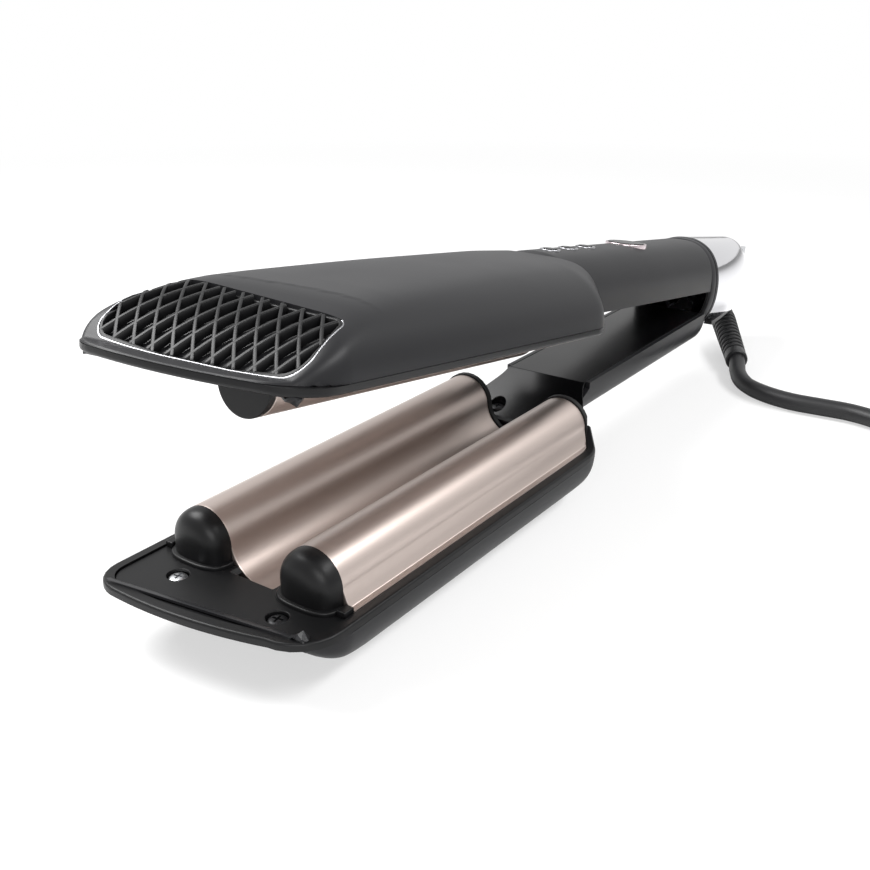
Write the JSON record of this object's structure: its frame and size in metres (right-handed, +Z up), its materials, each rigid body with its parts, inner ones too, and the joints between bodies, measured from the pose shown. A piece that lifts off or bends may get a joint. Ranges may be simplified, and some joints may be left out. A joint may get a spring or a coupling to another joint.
{
  "type": "hair waver",
  "caption": "Deep-wave hair waver: two sprung arms with meshing barrel plates, a vented soft-touch cover, push buttons, a polished rear cap and a swivel cord with its plug.",
  "frame": {"origin": "middle of the flat underside of the lower head, on the table", "axes": "+X from the tip towards the cord, +Y across the arms, +Z up from the lower arm to the upper"},
  "size_m": [0.3544, 0.2114, 0.0833],
  "materials": {
    "soft_black": "soft-touch matte",
    "black_plastic": "fine satin",
    "gloss_black": "gloss",
    "plate_bronze": "satin ceramic coating",
    "chrome": "polished",
    "rose_metal": "polished",
    "steel": "brushed",
    "insulator": "heat-proof",
    "brass": "plain",
    "board": "lacquered board",
    "rubber": "soft",
    "wire_red": "insulation"
  },
  "bodies": {
    "upper_arm": {"upper_cover": "soft_black", "grip_top": "soft_black", "upper_rim": "black_plastic", "upper_grille": "black_plastic", "grille_backing": "black_plastic", "grille_trim": "chrome", "upper_plate": "plate_bronze", "upper_end_cap": "black_plastic", "upper_heater": "insulator", "upper_carrier": "insulator", "upper_thermal_fuse": "brass", "grip_liner": "black_plastic", "control_board": "board", "button_rings": "chrome", "power_ring": "rose_metal", "collar": "black_plastic", "collar_gasket": "rubber", "rear_cap": "chrome", "cap_plate": "gloss_black", "swivel_socket": "black_plastic", "hinge_bracket": "steel", "hinge_pin": "steel", "hinge_spring": "steel", "wiring": "wire_red", "upper_screws": "steel", "cord": "rubber", "cord_coil": "rubber", "cord_tail": "rubber", "coil_tie": "rubber", "plug_body": "black_plastic", "plug_pins": "steel"},
    "lower_arm": {"lower_cover": "black_plastic", "lower_rim": "black_plastic", "lower_vent": "black_plastic", "front_panel": "black_plastic", "lower_plate": "plate_bronze", "lower_end_caps": "black_plastic", "plate_clips": "black_plastic", "plate_gasket": "rubber", "lower_heaters": "insulator", "lower_carrier": "insulator", "lower_thermostat": "brass", "grip_panel": "gloss_black", "grip_cover": "soft_black", "hinge_arm": "steel", "lower_screws": "steel"},
    "cord_swivel": {"swivel_ball": "gloss_black", "strain_relief": "rubber"},
    "button_1": {"button_1": "black_plastic"},
    "button_2": {"button_2": "black_plastic"},
    "button_3": {"button_3": "black_plastic"},
    "power_button": {"power_button": "black_plastic"}
  },
  "joints": [
    {"name": "arm_hinge", "type": "hinge", "parent": "upper_arm", "child": "lower_arm", "pos_m": [0.2207, 0, 0.035], "axis": [0, 1, 0], "range_deg": [0, 8.6], "stiffness_Nm_per_rad": 0.9, "springref_deg": -42.97},
    {"name": "cord_swivel_turn", "type": "hinge", "parent": "upper_arm", "child": "cord_swivel", "pos_m": [0.226, 0, 0.0102], "axis": [-0.8668, -0.4876, -0.104], "continuous": true},
    {"name": "button_1_press", "type": "slide", "parent": "upper_arm", "child": "button_1", "axis": [-0.1495, 0, -0.9888], "range_m": [0, 0.0008], "stiffness_N_per_m": 400, "springref_m": -0.001},
    {"name": "button_2_press", "type": "slide", "parent": "upper_arm", "child": "button_2", "axis": [-0.1495, 0, -0.9888], "range_m": [0, 0.0008], "stiffness_N_per_m": 400, "springref_m": -0.001},
    {"name": "button_3_press", "type": "slide", "parent": "upper_arm", "child": "button_3", "axis": [-0.1495, 0, -0.9888], "range_m": [0, 0.0008], "stiffness_N_per_m": 400, "springref_m": -0.001},
    {"name": "power_button_press", "type": "slide", "parent": "upper_arm", "child": "power_button", "axis": [-0.1495, 0, -0.9888], "range_m": [0, 0.0008], "stiffness_N_per_m": 500, "springref_m": -0.001}
  ]
}
